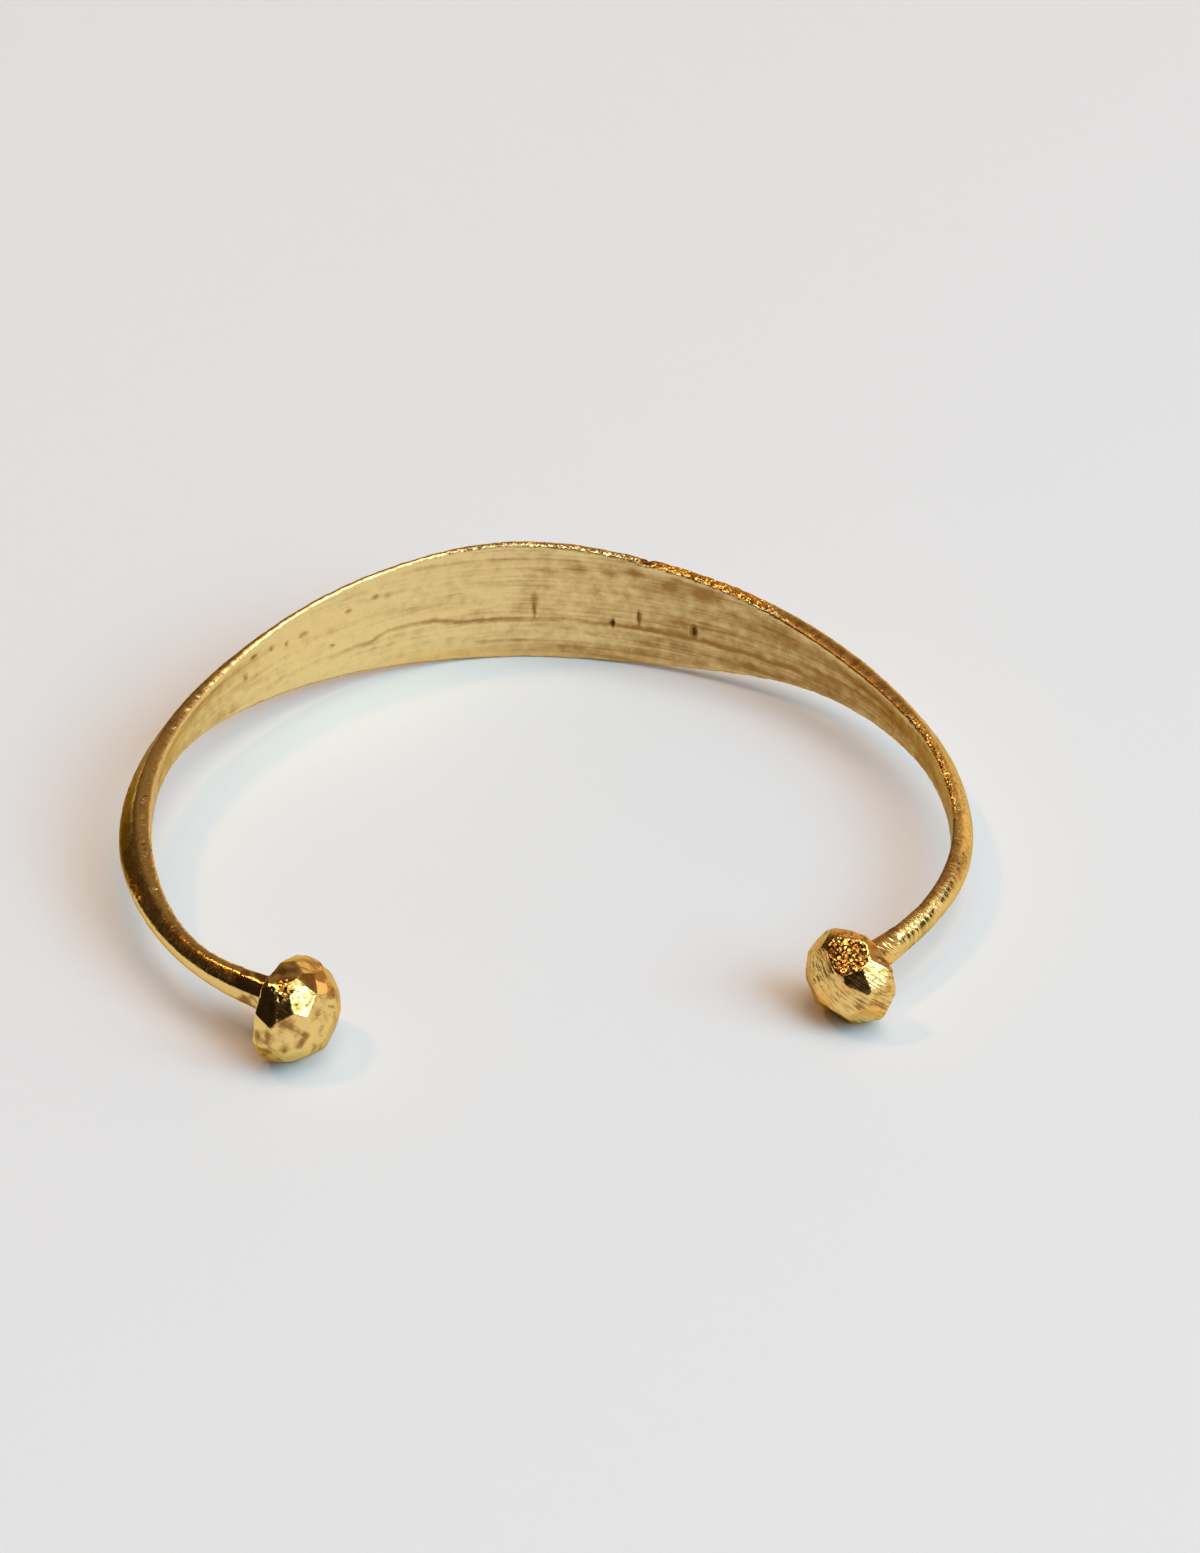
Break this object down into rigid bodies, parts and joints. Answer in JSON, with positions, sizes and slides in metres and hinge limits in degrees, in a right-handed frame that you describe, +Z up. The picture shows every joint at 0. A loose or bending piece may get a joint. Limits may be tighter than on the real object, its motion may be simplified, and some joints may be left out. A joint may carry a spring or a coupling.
{
  "type": "cuff bracelet",
  "caption": "Open cast brass cuff with a leaf-shaped band behind the wrist, slim faceted arms and filed knobs at the mouth, lying on its side.",
  "frame": {"origin": "on the surface that the cuff rests on, under the middle of its outline", "axes": "+Z up from the surface, +Y towards the band's middle, -Y out of the mouth, X across the wrist"},
  "size_m": [0.0648, 0.0534, 0.0112],
  "materials": {
    "brass": "cast and hand-filed, polished facets over satin, brown tarnish in the hollows"
  },
  "bodies": {
    "root": {"cuff": "brass"}
  },
  "joints": []
}
